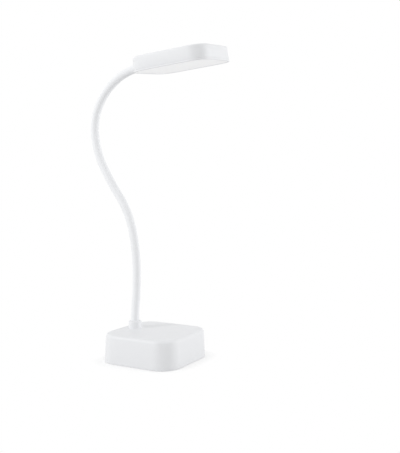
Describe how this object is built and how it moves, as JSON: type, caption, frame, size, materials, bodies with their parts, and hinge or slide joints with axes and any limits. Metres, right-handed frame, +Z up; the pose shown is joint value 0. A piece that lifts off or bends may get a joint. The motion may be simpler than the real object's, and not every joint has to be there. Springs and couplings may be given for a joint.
{
  "type": "gooseneck desk lamp",
  "caption": "Slim white desk lamp: rounded-square base, bendable gooseneck of hinged links, and a flat rounded head with an opal light panel.",
  "frame": {"origin": "centre of the base's underside, on the table", "axes": "+Z up; -Y is the front, the side the head reaches towards; +X is the lamp's lateral axis"},
  "size_m": [0.1, 0.1822, 0.3694],
  "materials": {
    "white_plastic": "fine satin moulding",
    "white_silicone": "smooth matte",
    "opal_diffuser": "opal, smooth",
    "grey_rubber": "matte",
    "steel": "plain",
    "cell_wrap": "shrink wrap",
    "circuit_board": "solder mask",
    "component_plastic": "moulded",
    "copper": "foil",
    "board_aluminium": "white solder mask",
    "led_phosphor": "phosphor",
    "lead_wire": "insulated two-core lead"
  },
  "bodies": {
    "base": {"base_housing": "white_plastic", "base_bottom_cover": "white_plastic", "anti_slip_pad": "grey_rubber", "base_screws": "steel", "ballast_plate": "steel", "battery_cradle": "white_plastic", "battery_cell": "cell_wrap", "control_board": "circuit_board", "board_screws": "steel", "board_components": "component_plastic", "usb_socket": "steel", "touch_electrode": "copper", "touch_board": "circuit_board", "base_collar": "white_plastic", "base_ferrule": "steel", "base_nut": "steel", "neck_sleeve_1": "white_silicone", "neck_hose_1": "steel", "neck_lead_1": "lead_wire"},
    "neck_link_2": {"neck_sleeve_2": "white_silicone", "neck_hose_2": "steel", "neck_lead_2": "lead_wire"},
    "neck_link_3": {"neck_sleeve_3": "white_silicone", "neck_hose_3": "steel", "neck_lead_3": "lead_wire"},
    "neck_link_4": {"neck_sleeve_4": "white_silicone", "neck_hose_4": "steel", "neck_lead_4": "lead_wire"},
    "neck_link_5": {"neck_sleeve_5": "white_silicone", "neck_hose_5": "steel", "neck_lead_5": "lead_wire"},
    "neck_link_6": {"neck_sleeve_6": "white_silicone", "neck_hose_6": "steel", "neck_lead_6": "lead_wire"},
    "neck_link_7": {"neck_sleeve_7": "white_silicone", "neck_hose_7": "steel", "neck_lead_7": "lead_wire"},
    "neck_link_8": {"neck_sleeve_8": "white_silicone", "neck_hose_8": "steel", "neck_lead_8": "lead_wire"},
    "head": {"head_collar": "white_plastic", "head_ferrule": "steel", "head_nut": "steel", "head_housing": "white_plastic", "head_bezel": "white_plastic", "diffuser": "opal_diffuser", "led_board": "board_aluminium", "led_board_screws": "steel", "leds": "led_phosphor", "led_plug": "component_plastic", "neck_sleeve_9": "white_silicone", "neck_hose_9": "steel", "neck_lead_9": "lead_wire"}
  },
  "joints": [
    {"name": "neck_bend_1", "type": "hinge", "parent": "base", "child": "neck_link_2", "pos_m": [0, 0.02907, 0.06537], "axis": [1, 0, 0], "range_deg": [-20, 20]},
    {"name": "neck_sway_2", "type": "hinge", "parent": "neck_link_2", "child": "neck_link_3", "pos_m": [0, 0.02774, 0.11012], "axis": [0, 0.9995, -0.0332], "range_deg": [-25, 25]},
    {"name": "neck_bend_3", "type": "hinge", "parent": "neck_link_3", "child": "neck_link_4", "pos_m": [0, 0.03373, 0.15444], "axis": [1, 0, 0], "range_deg": [-25, 25]},
    {"name": "neck_sway_4", "type": "hinge", "parent": "neck_link_4", "child": "neck_link_5", "pos_m": [0, 0.05264, 0.19471], "axis": [0, 0.8007, -0.599], "range_deg": [-25, 25]},
    {"name": "neck_bend_5", "type": "hinge", "parent": "neck_link_5", "child": "neck_link_6", "pos_m": [0, 0.07722, 0.23213], "axis": [1, 0, 0], "range_deg": [-30, 20]},
    {"name": "neck_sway_6", "type": "hinge", "parent": "neck_link_6", "child": "neck_link_7", "pos_m": [0, 0.09047, 0.27456], "axis": [0, 0.9963, -0.0854], "range_deg": [-25, 25]},
    {"name": "neck_bend_7", "type": "hinge", "parent": "neck_link_7", "child": "neck_link_8", "pos_m": [0, 0.07911, 0.31697], "axis": [1, 0, 0], "range_deg": [-35, 20]},
    {"name": "neck_sway_8", "type": "hinge", "parent": "neck_link_8", "child": "head", "pos_m": [0, 0.04473, 0.34476], "axis": [0, 0.3875, 0.9219], "range_deg": [-30, 30]}
  ]
}
